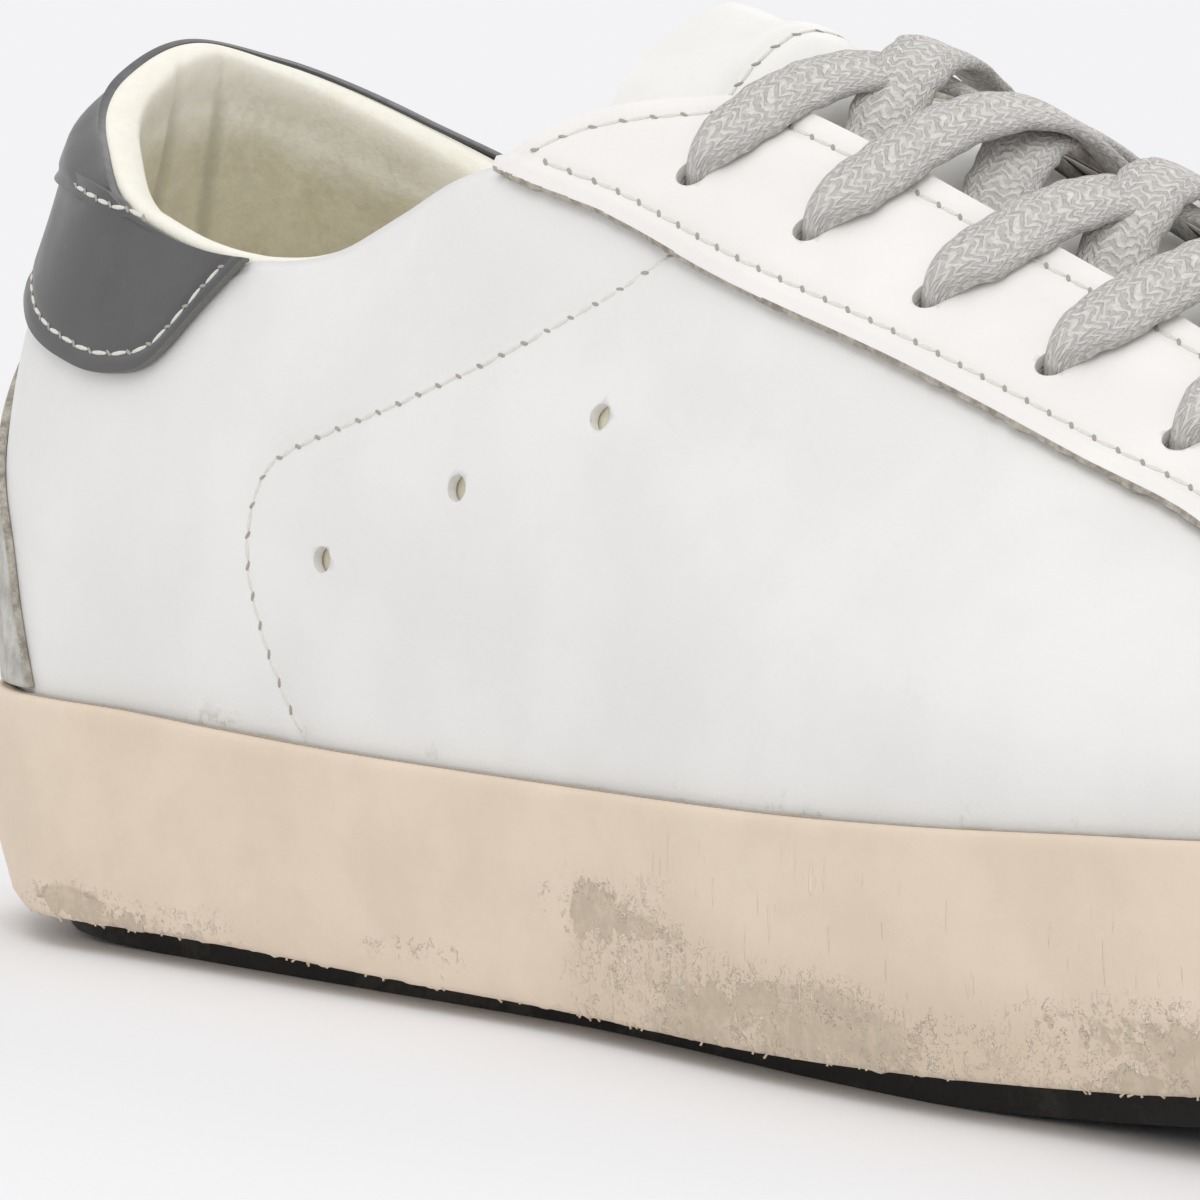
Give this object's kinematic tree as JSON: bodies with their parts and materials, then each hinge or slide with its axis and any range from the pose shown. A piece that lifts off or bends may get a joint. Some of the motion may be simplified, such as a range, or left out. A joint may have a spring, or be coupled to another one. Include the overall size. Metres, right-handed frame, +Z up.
{
  "type": "worn low-top sneaker",
  "caption": "Worn low-top leather court sneaker for the left foot: cup sole, hollow upper, tongue, insole, heel pieces and flat crossed laces.",
  "frame": {"origin": "bottom centre of the sole, on the floor", "axes": "+X from heel to toe, +Y to the wearer's left (outer side), +Z up"},
  "size_m": [0.289, 0.103, 0.1068],
  "materials": {
    "rubber": "cream rubber, scuffed and stained",
    "white_leather": "smooth white leather, creased and a little grey",
    "grey_leather": "smooth dark grey leather",
    "suede": "light grey suede",
    "lining": "cream terry lining",
    "lace": "flat grey cotton braid"
  },
  "bodies": {
    "root": {"sole": "rubber", "upper": "white_leather", "tongue": "white_leather", "insole": "lining", "front_panel": "white_leather", "heel_tab": "grey_leather", "heel_patch": "suede", "lace_bar": "lace", "lace_cross_1": "lace", "lace_cross_2": "lace", "lace_cross_3": "lace", "lace_cross_4": "lace", "lace_cross_5": "lace"}
  },
  "joints": []
}
